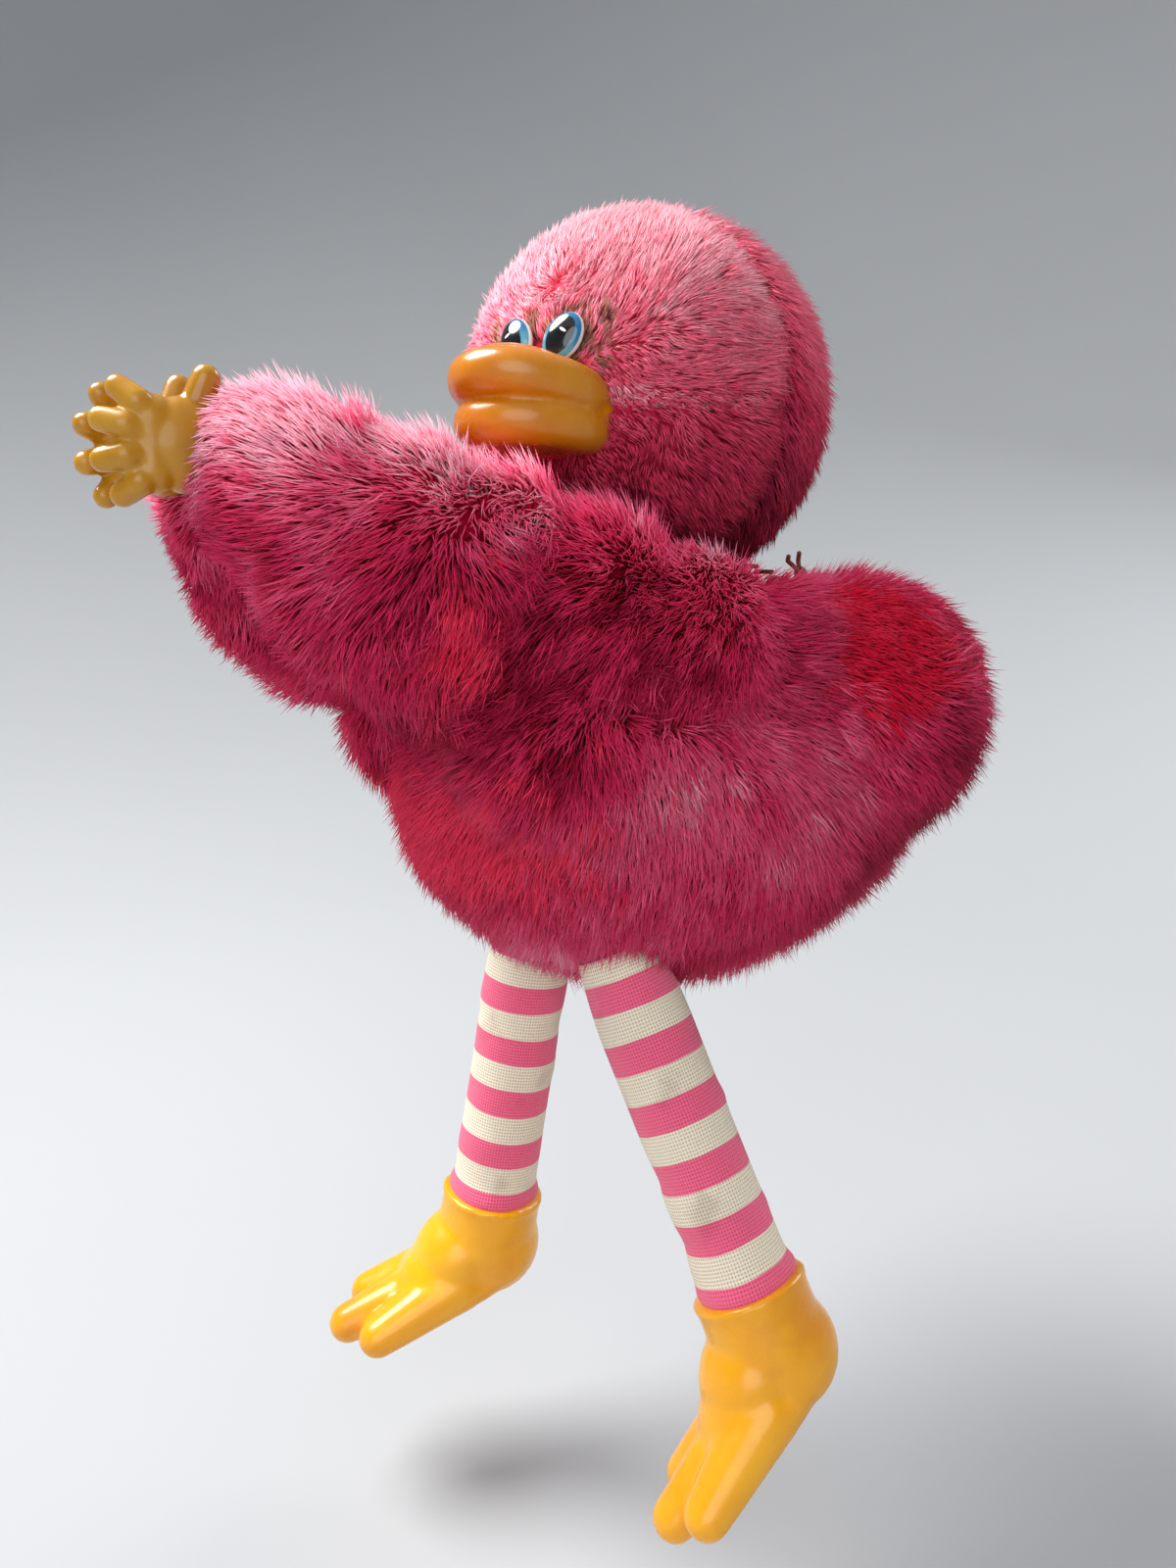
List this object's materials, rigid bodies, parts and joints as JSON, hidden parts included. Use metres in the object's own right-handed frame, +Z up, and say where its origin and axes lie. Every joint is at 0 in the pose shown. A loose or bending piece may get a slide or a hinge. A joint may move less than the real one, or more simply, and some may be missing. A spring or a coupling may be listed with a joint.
{
  "type": "plush clip-on bird",
  "caption": "Small plush bird with vinyl bill, hands and boots whose wings are the jaws of a sprung clip.",
  "frame": {"origin": "middle of the grip, halfway between the two closed palms", "axes": "+Z up along the clip's pivot, the bird faces -Y, its left side is +X"},
  "size_m": [0.0835, 0.1202, 0.1744],
  "materials": {
    "fur_light": "short pink plush pile",
    "fur_deep": "long deep pink plush pile",
    "filling": "white polyester stuffing",
    "cotton": "woven cotton, pink and cream stripes",
    "vinyl": "soft glossy yellow-orange vinyl",
    "eye_plastic": "glossy printed eye",
    "clip_plastic": "moulded plastic",
    "steel": "drawn steel",
    "thread": "brown sewing thread"
  },
  "bodies": {
    "torso": {"body_cover_left": "fur_deep", "body_cover_right": "fur_deep", "body_stuffing": "filling", "neck_thread": "thread", "closing_thread": "thread", "clip_pivot_pin": "steel", "clip_spring": "steel"},
    "head": {"head_crown_panel": "fur_light", "head_chin_panel": "fur_light", "head_back_panel": "fur_deep", "head_stuffing": "filling", "bill": "vinyl", "eye_left": "eye_plastic", "eye_right": "eye_plastic"},
    "arm_left": {"clip_lever_left": "clip_plastic", "hand_left": "vinyl", "wing_sleeve_left": "fur_deep"},
    "hip_left": {"hip_tab_left": "cotton"},
    "leg_left": {"leg_sleeve_left": "cotton", "leg_stuffing_left": "filling", "boot_left": "vinyl"},
    "arm_right": {"clip_lever_right": "clip_plastic", "hand_right": "vinyl", "wing_sleeve_right": "fur_deep"},
    "hip_right": {"hip_tab_right": "cotton"},
    "leg_right": {"leg_sleeve_right": "cotton", "leg_stuffing_right": "filling", "boot_right": "vinyl"}
  },
  "joints": [
    {"name": "arm_left_open", "type": "hinge", "parent": "torso", "child": "arm_left", "pos_m": [0, 0.052, -0.027], "axis": [0, 0, 1], "range_deg": [0, 18], "stiffness_Nm_per_rad": 0.12, "springref_deg": -20.05, "deforming": ["clip_spring"]},
    {"name": "arm_right_open", "type": "hinge", "parent": "torso", "child": "arm_right", "pos_m": [0, 0.052, -0.027], "axis": [0, 0, 1], "range_deg": [-18, 0]},
    {"name": "neck_turn", "type": "hinge", "parent": "torso", "child": "head", "pos_m": [0, 0.066, -0.0152], "axis": [0, 0, 1], "range_deg": [-46, 8]},
    {"name": "leg_left_swing", "type": "hinge", "parent": "torso", "child": "hip_left", "pos_m": [0.0129, 0.0552, -0.0713], "axis": [0.9011, 0, 0.4337], "range_deg": [-70, 12]},
    {"name": "leg_left_splay", "type": "hinge", "parent": "hip_left", "child": "leg_left", "pos_m": [0.0129, 0.0552, -0.0713], "axis": [0, 1, 0], "range_deg": [-10, 20]},
    {"name": "leg_right_swing", "type": "hinge", "parent": "torso", "child": "hip_right", "pos_m": [-0.0129, 0.0552, -0.0713], "axis": [0.9011, 0, -0.4337], "range_deg": [-52, 28]},
    {"name": "leg_right_splay", "type": "hinge", "parent": "hip_right", "child": "leg_right", "pos_m": [-0.0129, 0.0552, -0.0713], "axis": [0, 1, 0], "range_deg": [-2, 26]}
  ],
  "couplings": [
    {"joint": "arm_right_open", "follows": "arm_left_open", "ratio": -1}
  ]
}
